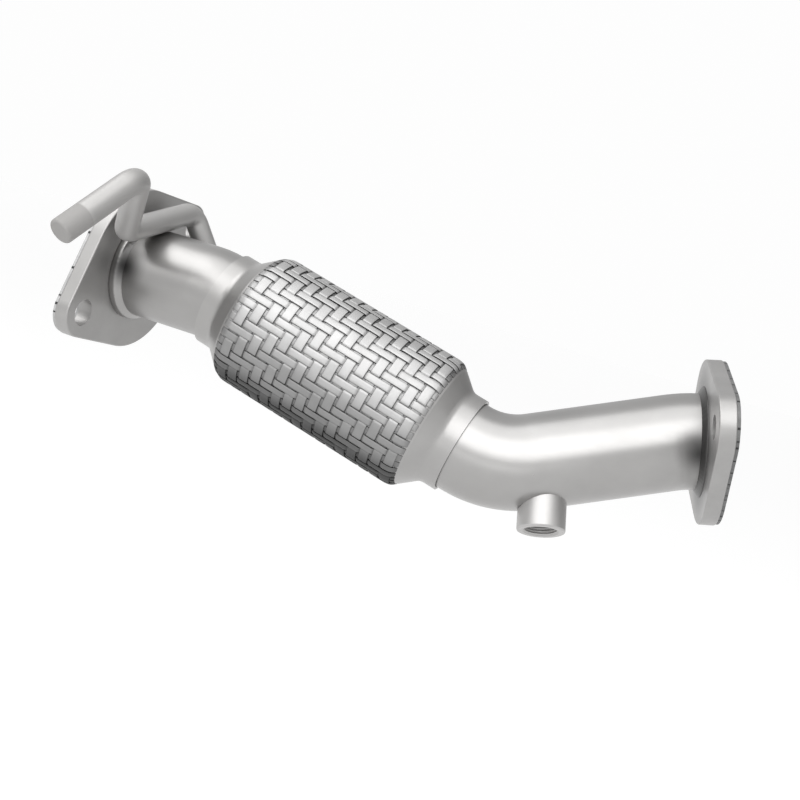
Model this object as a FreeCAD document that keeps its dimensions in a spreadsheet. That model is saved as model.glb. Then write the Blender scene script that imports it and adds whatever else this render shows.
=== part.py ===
import FreeCAD, Part
import math
import os
import Sketcher
from FreeCAD import Placement, Rotation, Vector

# Exhaust front pipe in millimetres. The origin is the centre of the inlet
# sealing face, +X runs along the inlet pipe and +Z is up.

doc = FreeCAD.newDocument("exhaust_front_pipe")

# Driving sizes: millimetres and degrees.
DRIVING = [
    ("pipe_diameter", 50.8),
    ("pipe_wall", 1.6),
    ("slip_clearance", 0.15),
    ("weld_clearance", 0.05),
    ("inlet_run", 58.3),
    ("inlet_bend_radius", 34.0),
    ("flex_start", 6.6),
    ("flex_yaw", 6.1),
    ("flex_pitch", -13.9),
    ("flex_length", 154.5),
    ("outlet_lead", 21.0),
    ("outlet_bend_radius", 50.8),
    ("outlet_yaw", 21.4),
    ("outlet_pitch", 24.0),
    ("outlet_run", 99.4),
    ("end_bend_radius", 60.0),
    ("end_yaw", 12.3),
    ("end_pitch", 14.1),
    ("end_run", 9.3),
    ("inlet_flange_thickness", 8.0),
    ("inlet_land_radius", 45.5),
    ("inlet_ear_radius", 13.9),
    ("inlet_near_ear", 50.9),
    ("inlet_far_ear", 54.2),
    ("inlet_bolt_radius", 7.3),
    ("inlet_roll", 235.9),
    ("inlet_gasket_hole", 34.5),
    ("outlet_flange_thickness", 8.5),
    ("outlet_land_radius", 43.3),
    ("outlet_ear_radius", 17.6),
    ("outlet_ear_offset", 49.2),
    ("outlet_bolt_radius", 6.2),
    ("outlet_roll", 76.1),
    ("outlet_gasket_hole", 29.4),
    ("flange_soft_edge", 0.8),
    ("gasket_thickness", 1.5),
    ("gasket_margin", 0.6),
    ("inlet_weld_height", 3.0),
    ("inlet_weld_flat", 4.0),
    ("inlet_weld_length", 6.5),
    ("outlet_weld_height", 4.0),
    ("outlet_weld_length", 2.8),
    ("neck_wall", 1.65),
    ("neck_sleeve", 9.1),
    ("neck_blend", 6.0),
    ("neck_cone_radius", 35.0),
    ("neck_cone_end", 18.3),
    ("neck_shoulder_end", 20.7),
    ("neck_skirt_end", 33.1),
    ("neck_lead_depth", 0.3),
    ("neck_lead_length", 1.0),
    ("pipe_in_neck", 6.5),
    ("braid_radius", 38.4),
    ("braid_strand_height", 0.6),
    ("braid_wall", 1.3),
    ("braid_end", 19.1),
    ("braid_full_radius_start", 22.8),
    ("braid_lip_step", 0.4),
    ("braid_lip_length", 3.6),
    ("weave_rows", 48),
    ("weave_turn", -1.3),
    ("weave_margin", 21.0),
    ("weave_pitch", 6.94),
    ("weave_shift", 0.87),
    ("weave_phase", 3),
    ("axial_strand_share", 0.72),
    ("hoop_strand_share", 0.68),
    ("float_gap", 0.8),
    ("braid_clearance", 0.15),
    ("bellows_wall", 0.5),
    ("bellows_crest_radius", 35.4),
    ("bellows_root_radius", 27.6),
    ("bellows_count", 12),
    ("bellows_cuff_start", 25.1),
    ("bellows_cuff_end", 34.1),
    ("bellows_web", 3.0),
    ("cuff_ring_wall", 1.4),
    ("cuff_ring_length", 7.5),
    ("liner_wall", 1.35),
    ("liner_gap", 0.3),
    ("boss_radius", 12.6),
    ("boss_reach", 38.9),
    ("boss_thread_radius", 8.19),
    ("boss_station", 26.0),
    ("boss_roll", 152.5),
    ("boss_lean", 12.9),
    ("boss_chamfer", 0.8),
    ("sensor_hole_radius", 9.0),
    ("rod_radius", 6.35),
    ("rod_bend_radius", 11.8),
    ("rod_far_bend_radius", 8.0),
    ("rod_station", 21.0),
    ("rod_slope", 17.3),
    ("rod_near_reach", 35.2),
    ("rod_far_reach", 29.5),
    ("rod_tip_x", 44.0),
    ("rod_tip_side", 130.2),
    ("rod_tip_height", 13.15),
    ("rod_top_x", 52.4),
    ("rod_top_side", 92.5),
    ("rod_top_height", 48.3),
    ("rod_drop_x", 15.6),
    ("rod_end_overrun", 5.0),
    ("rod_end_round", 1.5),
]

# Sizes worked out from the driving ones by formulas in the sheet.
DERIVED = [
    ("pipe_radius", "pipe_diameter / 2"),
    ("pipe_bore_radius", "pipe_radius - pipe_wall"),
    ("flange_bore_radius", "pipe_radius + slip_clearance"),
    ("inlet_gasket_land", "inlet_land_radius - gasket_margin"),
    ("inlet_gasket_ear", "inlet_ear_radius - gasket_margin"),
    ("outlet_gasket_land", "outlet_land_radius - gasket_margin"),
    ("outlet_gasket_ear", "outlet_ear_radius - gasket_margin"),
    ("flange_weld_bore", "pipe_radius + weld_clearance"),
    ("inlet_weld_radius", "pipe_radius + inlet_weld_height"),
    ("outlet_weld_radius", "pipe_radius + outlet_weld_height"),
    ("neck_bore", "pipe_radius + slip_clearance"),
    ("neck_radius", "neck_bore + neck_wall"),
    ("neck_lead_radius", "neck_bore + neck_lead_depth"),
    ("braid_base_radius", "braid_radius - braid_strand_height"),
    ("braid_bore", "braid_base_radius - braid_wall"),
    ("neck_skirt_radius", "braid_bore - braid_clearance"),
    ("neck_skirt_bore", "neck_skirt_radius - neck_wall"),
    ("neck_shoulder_slope",
     "(neck_skirt_radius - neck_cone_radius) / (neck_shoulder_end - neck_cone_end)"),
    ("braid_lip_bore",
     "neck_cone_radius + neck_shoulder_slope * (braid_end - neck_cone_end) + braid_clearance"),
    ("boss_saddle_radius", "pipe_radius + weld_clearance"),
    ("neck_cone_slope", "(neck_cone_end - neck_sleeve) / (neck_cone_radius - neck_radius)"),
    ("neck_inner_cone_start", "neck_sleeve + neck_wall * 0.38"),
    ("neck_inner_cone_end", "neck_inner_cone_start + neck_cone_slope * (neck_skirt_bore - neck_bore)"),
    ("bellows_cuff_radius", "neck_skirt_bore - weld_clearance"),
    ("cuff_ring_radius", "bellows_cuff_radius - bellows_wall - weld_clearance"),
    ("cuff_ring_bore", "cuff_ring_radius - cuff_ring_wall"),
    ("cuff_ring_end", "bellows_cuff_start + cuff_ring_length"),
    ("liner_radius", "neck_bore - slip_clearance"),
    ("liner_bore", "liner_radius - liner_wall"),
    ("liner_start", "pipe_in_neck + liner_gap"),
    ("liner_end", "flex_length - liner_start"),
]


def make_sheet():
    """Spreadsheet with every driving size, then the formulas that use them."""
    table = doc.addObject("Spreadsheet::Sheet", "Sizes")
    row = 1
    for alias, value in DRIVING:
        table.set("A%d" % row, alias)
        table.set("B%d" % row, str(value))
        table.setAlias("B%d" % row, alias)
        row += 1
    doc.recompute()
    for alias, formula in DERIVED:
        table.set("A%d" % row, alias)
        table.set("B%d" % row, "=" + formula)
        table.setAlias("B%d" % row, alias)
        doc.recompute()
        row += 1
    return table


sheet = make_sheet()


def size(alias):
    return float(sheet.get(alias))


# Directions and placements.
def heading(yaw, pitch):
    yaw = math.radians(size(yaw))
    pitch = math.radians(size(pitch))
    level = math.cos(pitch)
    return Vector(level * math.cos(yaw), level * math.sin(yaw), math.sin(pitch))


def square_to(direction, wish):
    """The part of wish that is square to direction, as a unit vector."""
    part = wish - direction * wish.dot(direction)
    return part.normalize()


def rolled(direction, degrees):
    """Unit vector square to direction, turned about it from straight up."""
    up = square_to(direction, Vector(0, 0, 1))
    side = direction.cross(up)
    angle = math.radians(degrees)
    return up * math.cos(angle) + side * math.sin(angle)


def placed(origin, x_axis, z_axis):
    y_axis = z_axis.cross(x_axis)
    return Placement(origin, Rotation(x_axis, y_axis, z_axis, "ZXY"))


# The centreline: corners of the bent pipe and the two mouths of the flex.
INLET_DIR = Vector(1, 0, 0)
FLEX_DIR = heading("flex_yaw", "flex_pitch")
OUTLET_DIR = heading("outlet_yaw", "outlet_pitch")
END_DIR = heading("end_yaw", "end_pitch")
UP = Vector(0, 0, 1)

inlet_face = Vector(0, 0, 0)
inlet_back = INLET_DIR * size("inlet_flange_thickness")
inlet_corner = INLET_DIR * size("inlet_run")
inlet_mouth = inlet_corner + FLEX_DIR * size("flex_start")
outlet_mouth = inlet_mouth + FLEX_DIR * size("flex_length")
outlet_corner = outlet_mouth + FLEX_DIR * size("outlet_lead")
end_corner = outlet_corner + OUTLET_DIR * size("outlet_run")
outlet_back = end_corner + END_DIR * size("end_run")
outlet_face = outlet_back + END_DIR * size("outlet_flange_thickness")

flex_up = square_to(FLEX_DIR, UP)
inlet_ear = rolled(-INLET_DIR, size("inlet_roll"))
outlet_ear = rolled(END_DIR, size("outlet_roll"))


# Sketch and body helpers.
def new_body(name, placement):
    body = doc.addObject("PartDesign::Body", name)
    body.Label = name
    body.Placement = placement
    return body


def new_sketch(body, name, role):
    sketch = body.newObject("Sketcher::SketchObject", name)
    plane = [item for item in body.Origin.OriginFeatures if item.Role == role][0]
    sketch.AttachmentSupport = [(plane, "")]
    sketch.MapMode = "FlatFace"
    return sketch


def bind(sketch, constraint, alias):
    index = sketch.addConstraint(constraint)
    sketch.setExpression("Constraints[%d]" % index, "Sizes." + alias)


def pin_point(sketch, edge, end, x_alias, y_alias):
    """Hold one end of a line at named distances from the sketch's axes."""
    if x_alias is None:
        sketch.addConstraint(Sketcher.Constraint("PointOnObject", edge, end, -2))
    else:
        bind(sketch, Sketcher.Constraint("DistanceX", -1, 1, edge, end, size(x_alias)), x_alias)
    if y_alias is None:
        sketch.addConstraint(Sketcher.Constraint("PointOnObject", edge, end, -1))
    else:
        bind(sketch, Sketcher.Constraint("DistanceY", -1, 1, edge, end, size(y_alias)), y_alias)


def turned(name, placement, corners):
    """Solid of revolution about local Z; corners are (radius, height) names."""
    body = new_body(name, placement)
    sketch = new_sketch(body, name + "_profile", "XZ_Plane")
    points = []
    for radius, height in corners:
        points.append(Vector(size(radius), 0 if height is None else size(height), 0))
    count = len(points)
    for index in range(count):
        sketch.addGeometry(Part.LineSegment(points[index], points[(index + 1) % count]), False)
    for index in range(count):
        sketch.addConstraint(Sketcher.Constraint("Coincident", index, 2, (index + 1) % count, 1))
    for index, (radius, height) in enumerate(corners):
        pin_point(sketch, index, 1, radius, height)
    solid = body.newObject("PartDesign::Revolution", name + "_turn")
    solid.Profile = sketch
    solid.ReferenceAxis = (sketch, ["V_Axis"])
    solid.Angle = 360
    return body


def edges_at(shape, radius, height):
    """Names of the circular edges with this radius and height."""
    names = []
    for index, edge in enumerate(shape.Edges):
        curve = edge.Curve
        if isinstance(curve, Part.Circle):
            if abs(curve.Radius - radius) < 0.01 and abs(curve.Center.z - height) < 0.01:
                names.append("Edge%d" % (index + 1))
    return names


# Two-bolt plates: a round land and two ears joined by straight edges.
def tangent_points(center_a, radius_a, center_b, radius_b):
    """Ends of the outer tangent line on the left of the way from a to b."""
    way = center_b - center_a
    length = way.Length
    way = way * (1.0 / length)
    side = Vector(-way.y, way.x, 0)
    lean = (radius_a - radius_b) / length
    normal = way * lean + side * math.sqrt(1 - lean * lean)
    return center_a + normal * radius_a, center_b + normal * radius_b


def arc_between(center, radius, start, end):
    """Counter-clockwise arc about center from start to end."""
    first = math.atan2(start.y - center.y, start.x - center.x)
    last = math.atan2(end.y - center.y, end.x - center.x)
    if last < first:
        last += 2 * math.pi
    return Part.ArcOfCircle(Part.Circle(center, Vector(0, 0, 1), radius), first, last)


def plate(name, placement, land, ear, near, far, bore, hole, thickness):
    """Plate padded along local Z, with local X towards the near ear."""
    body = new_body(name, placement)
    sketch = new_sketch(body, name + "_outline", "XY_Plane")
    rounds = [
        (Vector(0, 0, 0), land),
        (Vector(size(near), 0, 0), ear),
        (Vector(0, 0, 0), land),
        (Vector(-size(far), 0, 0), ear),
    ]
    # Going clockwise round the plate keeps each tangent line outside.
    joints = []
    for index in range(4):
        here, there = rounds[index], rounds[(index + 1) % 4]
        joints.append(tangent_points(here[0], size(here[1]), there[0], size(there[1])))
    for start, end in joints:
        sketch.addGeometry(Part.LineSegment(start, end), False)
    for index in range(4):
        center, radius = rounds[index]
        arrives = joints[index - 1][1]
        leaves = joints[index][0]
        sketch.addGeometry(arc_between(center, size(radius), leaves, arrives), False)
    for index in range(4):
        sketch.addConstraint(Sketcher.Constraint("Tangent", 4 + index, 1, index, 1))
        sketch.addConstraint(Sketcher.Constraint("Tangent", index - 1 if index else 3, 2, 4 + index, 2))
    sketch.addConstraint(Sketcher.Constraint("Coincident", 4, 3, -1, 1))
    sketch.addConstraint(Sketcher.Constraint("Coincident", 6, 3, -1, 1))
    bind(sketch, Sketcher.Constraint("Radius", 4, size(land)), land)
    sketch.addConstraint(Sketcher.Constraint("Equal", 4, 6))
    bind(sketch, Sketcher.Constraint("Radius", 5, size(ear)), ear)
    sketch.addConstraint(Sketcher.Constraint("Equal", 5, 7))
    sketch.addConstraint(Sketcher.Constraint("PointOnObject", 5, 3, -1))
    bind(sketch, Sketcher.Constraint("DistanceX", -1, 1, 5, 3, size(near)), near)
    bind(sketch, Sketcher.Constraint("DistanceX", 7, 3, -1, 1, size(far)), far)
    sketch.addConstraint(Sketcher.Constraint("PointOnObject", 7, 3, -1))
    bore_index = sketch.addGeometry(Part.Circle(Vector(0, 0, 0), Vector(0, 0, 1), size(bore)), False)
    sketch.addConstraint(Sketcher.Constraint("Coincident", bore_index, 3, -1, 1))
    bind(sketch, Sketcher.Constraint("Radius", bore_index, size(bore)), bore)
    for arc in (5, 7):
        center = rounds[arc - 4][0]
        index = sketch.addGeometry(Part.Circle(center, Vector(0, 0, 1), size(hole)), False)
        sketch.addConstraint(Sketcher.Constraint("Coincident", index, 3, arc, 3))
        bind(sketch, Sketcher.Constraint("Radius", index, size(hole)), hole)
    pad = body.newObject("PartDesign::Pad", name + "_pad")
    pad.Profile = sketch
    pad.setExpression("Length", "Sizes." + thickness)
    return body


def soften(body, name, bore, hole):
    """Round the plate's outline edges, leaving the holes sharp."""
    doc.recompute()
    base = body.Tip
    names = []
    for index, edge in enumerate(base.Shape.Edges):
        flat = abs(edge.BoundBox.ZLength) < 0.01
        radius = edge.Curve.Radius if isinstance(edge.Curve, Part.Circle) else 0
        is_hole = abs(radius - size(bore)) < 0.01 or abs(radius - size(hole)) < 0.01
        if flat and not is_hole:
            names.append("Edge%d" % (index + 1))
    fillet = body.newObject("PartDesign::Fillet", name + "_edges")
    fillet.Base = (base, names)
    fillet.setExpression("Radius", "Sizes.flange_soft_edge")
    body.Tip = fillet


# Bent bars and tubes: straight runs joined by tangent arcs.
def route_edges(corners, radii):
    """Edges through the corners, with an arc of the given radius at each inner one."""
    edges = []
    start = corners[0]
    for index in range(1, len(corners) - 1):
        back = (corners[index - 1] - corners[index]).normalize()
        ahead = (corners[index + 1] - corners[index]).normalize()
        half = back.getAngle(ahead) / 2
        radius = radii[index - 1]
        cut = radius / math.tan(half)
        arc_start = corners[index] + back * cut
        arc_end = corners[index] + ahead * cut
        center = corners[index] + (back + ahead).normalize() * (radius / math.sin(half))
        middle = center + (corners[index] - center).normalize() * radius
        edges.append(Part.LineSegment(start, arc_start).toShape())
        edges.append(Part.Arc(arc_start, middle, arc_end).toShape())
        start = arc_end
    edges.append(Part.LineSegment(start, corners[-1]).toShape())
    return edges


def route(name, corners, radii):
    path = doc.addObject("Part::Feature", name)
    path.Shape = Part.Wire(route_edges(corners, radii))
    return path


def swept(name, path, radius_alias):
    """Round solid of the given radius along a path."""
    wire = path.Shape
    first = wire.OrderedEdges[0]
    start = first.valueAt(first.FirstParameter)
    tangent = first.tangentAt(first.FirstParameter)
    section = doc.addObject("Part::Circle", name + "_section")
    section.setExpression("Radius", "Sizes." + radius_alias)
    section.Placement = Placement(start, Rotation(Vector(0, 0, 1), tangent))
    sweep = doc.addObject("Part::Sweep", name)
    sweep.Sections = [section]
    sweep.Spine = (path, ["Edge%d" % (index + 1) for index in range(len(wire.Edges))])
    sweep.Solid = True
    return sweep


def cut_from(name, base, tool):
    result = doc.addObject("Part::Cut", name)
    result.Label = name
    result.Base = base
    result.Tool = tool
    return result


def rod_cylinder(name, radius_alias, height_alias, placement):
    bar = doc.addObject("Part::Cylinder", name)
    bar.setExpression("Radius", "Sizes." + radius_alias)
    bar.setExpression("Height", "Sizes." + height_alias)
    bar.Placement = placement
    return bar


# Flanges, gaskets and their weld beads.
def make_inlet_end():
    outward = placed(inlet_back, inlet_ear, -INLET_DIR)
    flange = plate(
        "inlet_flange", outward, "inlet_land_radius", "inlet_ear_radius", "inlet_near_ear",
        "inlet_far_ear", "flange_bore_radius", "inlet_bolt_radius", "inlet_flange_thickness")
    soften(flange, "inlet_flange", "flange_bore_radius", "inlet_bolt_radius")
    gasket = plate(
        "inlet_gasket", placed(inlet_face, inlet_ear, -INLET_DIR), "inlet_gasket_land",
        "inlet_gasket_ear", "inlet_near_ear", "inlet_far_ear", "inlet_gasket_hole",
        "inlet_bolt_radius", "gasket_thickness")
    weld = turned("inlet_flange_weld", placed(inlet_back, UP, INLET_DIR), INLET_WELD_CORNERS)
    return [flange, gasket, weld]


def make_outlet_end():
    outward = placed(outlet_back, outlet_ear, END_DIR)
    flange = plate(
        "outlet_flange", outward, "outlet_land_radius", "outlet_ear_radius", "outlet_ear_offset",
        "outlet_ear_offset", "flange_bore_radius", "outlet_bolt_radius",
        "outlet_flange_thickness")
    soften(flange, "outlet_flange", "flange_bore_radius", "outlet_bolt_radius")
    gasket = plate(
        "outlet_gasket", placed(outlet_face, outlet_ear, END_DIR), "outlet_gasket_land",
        "outlet_gasket_ear", "outlet_ear_offset", "outlet_ear_offset",
        "outlet_gasket_hole", "outlet_bolt_radius", "gasket_thickness")
    weld = turned(
        "outlet_flange_weld", placed(outlet_back, outlet_ear, -END_DIR), OUTLET_WELD_CORNERS)
    return [flange, gasket, weld]


INLET_WELD_CORNERS = [
    ("flange_weld_bore", None),
    ("inlet_weld_radius", None),
    ("inlet_weld_radius", "inlet_weld_flat"),
    ("flange_weld_bore", "inlet_weld_length"),
]

OUTLET_WELD_CORNERS = [
    ("flange_weld_bore", None),
    ("outlet_weld_radius", None),
    ("flange_weld_bore", "outlet_weld_length"),
]


# Bent pipes.
def make_inlet_pipe():
    pipe_end = inlet_mouth + FLEX_DIR * size("pipe_in_neck")
    path = route("inlet_pipe_path", [inlet_face, inlet_corner, pipe_end], [size("inlet_bend_radius")])
    outer = swept("inlet_pipe_outer", path, "pipe_radius")
    inner = swept("inlet_pipe_inner", path, "pipe_bore_radius")
    return cut_from("inlet_pipe", outer, inner)


def make_outlet_pipe_and_boss():
    pipe_start = outlet_mouth - FLEX_DIR * size("pipe_in_neck")
    path = route(
        "outlet_pipe_path", [pipe_start, outlet_corner, end_corner, outlet_face],
        [size("outlet_bend_radius"), size("end_bend_radius")])
    outer = swept("outlet_pipe_outer", path, "pipe_radius")
    inner = swept("outlet_pipe_inner", path, "pipe_bore_radius")
    tube = cut_from("outlet_pipe_tube", outer, inner)
    foot = outlet_corner + OUTLET_DIR * size("boss_station")
    radial = rolled(OUTLET_DIR, size("boss_roll"))
    axis = radial - OUTLET_DIR * math.tan(math.radians(size("boss_lean")))
    axis.normalize()
    along_boss = placed(foot, square_to(axis, OUTLET_DIR), axis)
    hole = rod_cylinder("sensor_hole", "sensor_hole_radius", "boss_reach", along_boss)
    pipe = cut_from("outlet_pipe", tube, hole)
    blank = rod_cylinder("boss_blank", "boss_radius", "boss_reach", along_boss)
    drilled = rod_cylinder("boss_thread", "boss_thread_radius", "boss_reach", along_boss)
    seat = swept("boss_seat", path, "boss_saddle_radius")
    saddle = cut_from("boss_saddle", blank, seat)
    bored = cut_from("boss_bored", saddle, drilled)
    doc.recompute()
    boss = doc.addObject("Part::Chamfer", "sensor_boss")
    boss.Label = "sensor_boss"
    boss.Base = bored
    rim = []
    for index, edge in enumerate(bored.Shape.Edges):
        if isinstance(edge.Curve, Part.Circle):
            rise = (edge.Curve.Center - foot).dot(axis)
            if abs(rise - size("boss_reach")) < 0.01:
                rim.append((index + 1, size("boss_chamfer"), size("boss_chamfer")))
    boss.Edges = rim
    return [pipe, boss]


# Hanger rod: it crosses the top of the inlet pipe, touching it.
def make_hanger_rod():
    slope = math.radians(size("rod_slope"))
    across = Vector(0, math.cos(slope), math.sin(slope))
    outward = Vector(0, -math.sin(slope), math.cos(slope))
    touch = size("pipe_radius") + size("rod_radius") + size("weld_clearance")
    crossing = Vector(size("rod_station"), 0, 0) + outward * touch
    near = crossing - across * size("rod_near_reach")
    far = crossing + across * size("rod_far_reach")
    lift = math.hypot(far.y, far.z)
    tangent_angle = math.atan2(far.z, far.y) - math.acos(touch / lift)
    landing = Vector(
        far.x + size("rod_drop_x"), touch * math.cos(tangent_angle), touch * math.sin(tangent_angle))
    last = landing + (landing - far).normalize() * size("rod_end_overrun")
    tip = Vector(size("rod_tip_x"), -size("rod_tip_side"), size("rod_tip_height"))
    top = Vector(size("rod_top_x"), -size("rod_top_side"), size("rod_top_height"))
    bend = size("rod_bend_radius")
    bends = [bend, bend, size("rod_far_bend_radius")]
    path = route("hanger_rod_path", [tip, top, near, far, last], bends)
    bar = swept("hanger_bar", path, "rod_radius")
    doc.recompute()
    rod = doc.addObject("Part::Fillet", "hanger_rod")
    rod.Label = "hanger_rod"
    rod.Base = bar
    end_round = size("rod_end_round")
    rod.Edges = [
        (index + 1, end_round, end_round) for index, edge in enumerate(bar.Shape.Edges)
        if isinstance(edge.Curve, Part.Circle) and (edge.Curve.Center - tip).Length < 0.01
        and abs(edge.Curve.Axis.dot((top - tip).normalize())) > 0.99]
    return rod


# Flex coupling.
NECK_CORNERS = [
    ("neck_radius", None),
    ("neck_radius", "neck_sleeve"),
    ("neck_cone_radius", "neck_cone_end"),
    ("neck_skirt_radius", "neck_shoulder_end"),
    ("neck_skirt_radius", "neck_skirt_end"),
    ("neck_skirt_bore", "neck_skirt_end"),
    ("neck_skirt_bore", "neck_inner_cone_end"),
    ("neck_bore", "neck_inner_cone_start"),
    ("neck_bore", "neck_lead_length"),
    ("neck_lead_radius", None),
]


def make_neck(name, mouth, inward):
    """Spun cone from the pipe sleeve at the mouth to the skirt under the braid."""
    body = turned(name, placed(mouth, flex_up, inward), NECK_CORNERS)
    doc.recompute()
    base = body.Tip
    blend = body.newObject("PartDesign::Fillet", name + "_blend")
    blend.Base = (base, edges_at(base.Shape, size("neck_radius"), size("neck_sleeve")))
    blend.setExpression("Radius", "Sizes.neck_blend")
    body.Tip = blend
    return body


RING_CORNERS = [
    ("cuff_ring_bore", "bellows_cuff_start"),
    ("cuff_ring_radius", "bellows_cuff_start"),
    ("cuff_ring_radius", "cuff_ring_end"),
    ("cuff_ring_bore", "cuff_ring_end"),
]

LINER_CORNERS = [
    ("liner_bore", "liner_start"),
    ("liner_radius", "liner_start"),
    ("liner_radius", "liner_end"),
    ("liner_bore", "liner_end"),
]


def revolved(points):
    """Solid of revolution about Z from (radius, height) points."""
    corners = [Vector(radius, 0, height) for radius, height in points]
    face = Part.Face(Part.makePolygon(corners + [corners[0]]))
    return face.revolve(Vector(0, 0, 0), Vector(0, 0, 1), 360)


def make_bellows():
    """Convoluted tube with a plain cuff at each end."""
    length = size("flex_length")
    wall = size("bellows_wall")
    cuff = size("bellows_cuff_radius")
    root = size("bellows_root_radius")
    crest = size("bellows_crest_radius")
    count = int(size("bellows_count"))
    first = size("bellows_cuff_end") + size("bellows_web")
    pitch = (length - 2 * first) / count
    flat = pitch * 0.15
    outer = [(cuff, size("bellows_cuff_start")), (cuff, size("bellows_cuff_end")), (root, first)]
    inner = [
        (cuff - wall, size("bellows_cuff_start")), (cuff - wall, size("bellows_cuff_end") - wall / 2),
        (root - wall, first - wall / 2)]
    for index in range(count):
        start = first + index * pitch
        middle = start + pitch / 2
        outer += [(root, start + flat), (crest, middle - flat), (crest, middle + flat)]
        outer += [(root, start + pitch - flat)]
        inner += [(root - wall, start + flat + wall), (crest - wall, middle - flat + wall)]
        inner += [(crest - wall, middle + flat - wall), (root - wall, start + pitch - flat - wall)]
    last = length - first
    outer += [(root, last), (cuff, length - size("bellows_cuff_end"))]
    outer += [(cuff, length - size("bellows_cuff_start"))]
    inner += [(root - wall, last + wall / 2), (cuff - wall, length - size("bellows_cuff_end") + wall / 2)]
    inner += [(cuff - wall, length - size("bellows_cuff_start"))]
    bellows = doc.addObject("Part::Feature", "flex_bellows")
    bellows.Label = "flex_bellows"
    bellows.Shape = revolved(outer + inner[::-1])
    bellows.Placement = placed(inlet_mouth, flex_up, FLEX_DIR)
    return bellows


def strand_patch(low, high, center, spread):
    """Raised patch from height low to high, spread degrees wide about center."""
    inside = size("braid_base_radius") - size("braid_strand_height") / 2
    outside = size("braid_radius")
    corners = [(inside, low), (outside, low), (outside, high), (inside, high)]
    points = [Vector(radius, 0, height) for radius, height in corners]
    face = Part.Face(Part.makePolygon(points + [points[0]]))
    face.rotate(Vector(0, 0, 0), Vector(0, 0, 1), center - spread / 2)
    return face.revolve(Vector(0, 0, 0), Vector(0, 0, 1), spread)


def make_braid():
    """Braided sleeve: a wall with the floats of a two-over-two weave raised on it."""
    length = size("flex_length")
    base = size("braid_base_radius")
    end = size("braid_end")
    full = size("braid_full_radius_start")
    lip = size("braid_lip_bore")
    step = size("braid_lip_step")
    outer = [
        (lip + step, end), ((lip + step + base) / 2, end + size("braid_lip_length") * 0.3),
        (base, end + size("braid_lip_length"))]
    inner = [(lip, end), (size("braid_bore"), size("neck_shoulder_end"))]
    profile = outer + [(radius, length - height) for radius, height in reversed(outer)]
    profile += [(radius, length - height) for radius, height in inner] + inner[::-1]
    wall = revolved(profile)
    rows = int(size("weave_rows"))
    row_angle = 360.0 / rows
    turn = size("weave_turn")
    pitch = size("weave_pitch")
    columns = int(round((length - 2 * size("weave_margin")) / pitch))
    start = (length - columns * pitch) / 2 + size("weave_shift")
    phase = int(size("weave_phase"))
    gap = size("float_gap")
    gap_angle = math.degrees(gap / base)
    low_limit = full
    high_limit = length - full
    patches = []
    for row in range(rows):
        for column in range(-1, columns):
            if (column + row + phase) % 4 == 0:
                low = max(start + column * pitch + gap / 2, low_limit)
                high = min(start + (column + 2) * pitch - gap / 2, high_limit)
                spread = row_angle * size("axial_strand_share")
                patches.append(strand_patch(low, high, turn + row * row_angle, spread))
    half_width = pitch * size("hoop_strand_share") / 2
    for column in range(columns):
        middle = start + (column + 0.5) * pitch
        low = max(middle - half_width, low_limit)
        high = min(middle + half_width, high_limit)
        for row in range(rows):
            if (column + row + phase) % 4 == 2 and high > low:
                center = turn + (row + 0.5) * row_angle
                patches.append(strand_patch(low, high, center, 2 * row_angle - gap_angle))
    braid = doc.addObject("Part::Feature", "flex_braid")
    braid.Label = "flex_braid"
    braid.Shape = wall.multiFuse(patches)
    braid.Placement = placed(inlet_mouth, flex_up, FLEX_DIR)
    return braid


def make_flex():
    along = placed(inlet_mouth, flex_up, FLEX_DIR)
    against = placed(outlet_mouth, flex_up, -FLEX_DIR)
    return [
        make_neck("inlet_neck", inlet_mouth, FLEX_DIR),
        make_neck("outlet_neck", outlet_mouth, -FLEX_DIR),
        turned("inlet_cuff_ring", along, RING_CORNERS),
        turned("outlet_cuff_ring", against, RING_CORNERS),
        turned("flex_liner", along, LINER_CORNERS),
        make_bellows(),
        make_braid(),
    ]


def check_and_write(pieces):
    """Stop if anything failed, then write one file for each piece."""
    doc.recompute()
    for item in doc.Objects:
        bad = [state for state in item.State if state in ("Invalid", "Error")]
        if bad:
            raise RuntimeError("%s is %s" % (item.Name, bad))
    os.makedirs("parts", exist_ok=True)
    for piece in pieces:
        shape = piece.Shape
        if shape.isNull() or not shape.isValid():
            raise RuntimeError("%s has no valid shape" % piece.Label)
        shape.exportStep("parts/%s.step" % piece.Label)
        box = shape.BoundBox
        print("%-20s solids %d volume %9.1f x %.1f..%.1f y %.1f..%.1f z %.1f..%.1f" % (
            piece.Label, len(shape.Solids), shape.Volume,
            box.XMin, box.XMax, box.YMin, box.YMax, box.ZMin, box.ZMax))


pieces = make_inlet_end() + make_outlet_end()
pieces.append(make_inlet_pipe())
pieces += make_outlet_pipe_and_boss()
pieces.append(make_hanger_rod())
pieces += make_flex()
check_and_write(pieces)
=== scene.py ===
"""Exhaust front pipe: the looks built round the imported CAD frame. Blender 4.5, metres."""

import math

import bmesh
import bpy
import numpy as np
from mathutils import Matrix, Vector


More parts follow.
